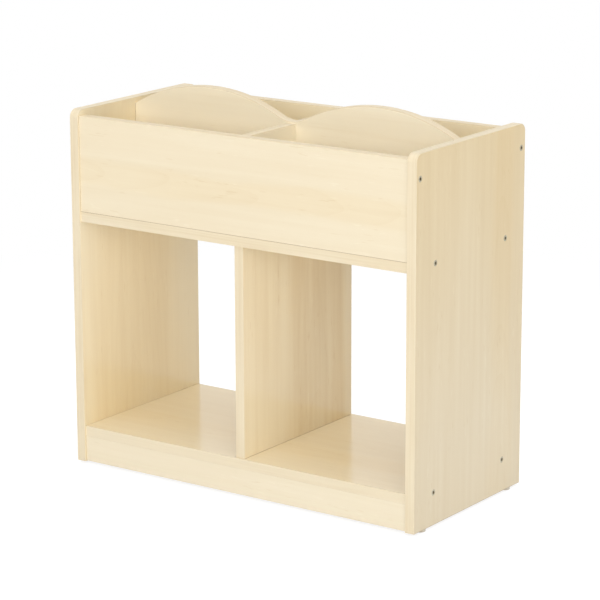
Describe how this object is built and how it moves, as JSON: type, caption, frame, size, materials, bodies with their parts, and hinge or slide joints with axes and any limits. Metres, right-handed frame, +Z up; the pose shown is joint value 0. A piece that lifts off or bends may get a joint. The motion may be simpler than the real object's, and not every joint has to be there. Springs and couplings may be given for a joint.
{
  "type": "picture book browser bin",
  "caption": "Free-standing double-sided picture book browser in maple-faced board, with a divided bin on top and open bays below.",
  "frame": {"origin": "on the floor, under the middle of the browser", "axes": "+X to the right along the width, +Y from front to rear, +Z up; millimetres in the STEP files"},
  "size_m": [0.72, 0.34, 0.679],
  "materials": {
    "maple_board": "satin maple woodgrain melamine facing",
    "maple_edge_band": "satin maple woodgrain PVC edge band",
    "screw_steel": "bright zinc-plated steel",
    "beech_dowel": "bare beech",
    "glide_plastic": "pale moulded plastic"
  },
  "bodies": {
    "root": {"left_side_panel": "maple_board", "right_side_panel": "maple_board", "bottom_shelf": "maple_board", "bin_floor": "maple_board", "centre_upright": "maple_board", "front_bin_panel": "maple_board", "rear_bin_panel": "maple_board", "front_kick_board": "maple_board", "rear_kick_board": "maple_board", "arched_divider": "maple_board", "front_cross_divider": "maple_board", "rear_cross_divider": "maple_board", "left_side_band": "maple_edge_band", "right_side_band": "maple_edge_band", "bottom_shelf_bands": "maple_edge_band", "bin_floor_bands": "maple_edge_band", "centre_upright_bands": "maple_edge_band", "front_bin_panel_band": "maple_edge_band", "rear_bin_panel_band": "maple_edge_band", "front_kick_board_band": "maple_edge_band", "rear_kick_board_band": "maple_edge_band", "arched_divider_band": "maple_edge_band", "front_cross_divider_band": "maple_edge_band", "rear_cross_divider_band": "maple_edge_band", "left_side_screws": "screw_steel", "right_side_screws": "screw_steel", "upright_screws": "screw_steel", "front_bin_panel_dowels": "beech_dowel", "rear_bin_panel_dowels": "beech_dowel", "front_kick_board_dowels": "beech_dowel", "rear_kick_board_dowels": "beech_dowel", "arched_divider_dowels": "beech_dowel", "cross_divider_dowels": "beech_dowel", "through_dowels": "beech_dowel", "upright_dowels": "beech_dowel", "floor_glides": "glide_plastic"}
  },
  "joints": []
}
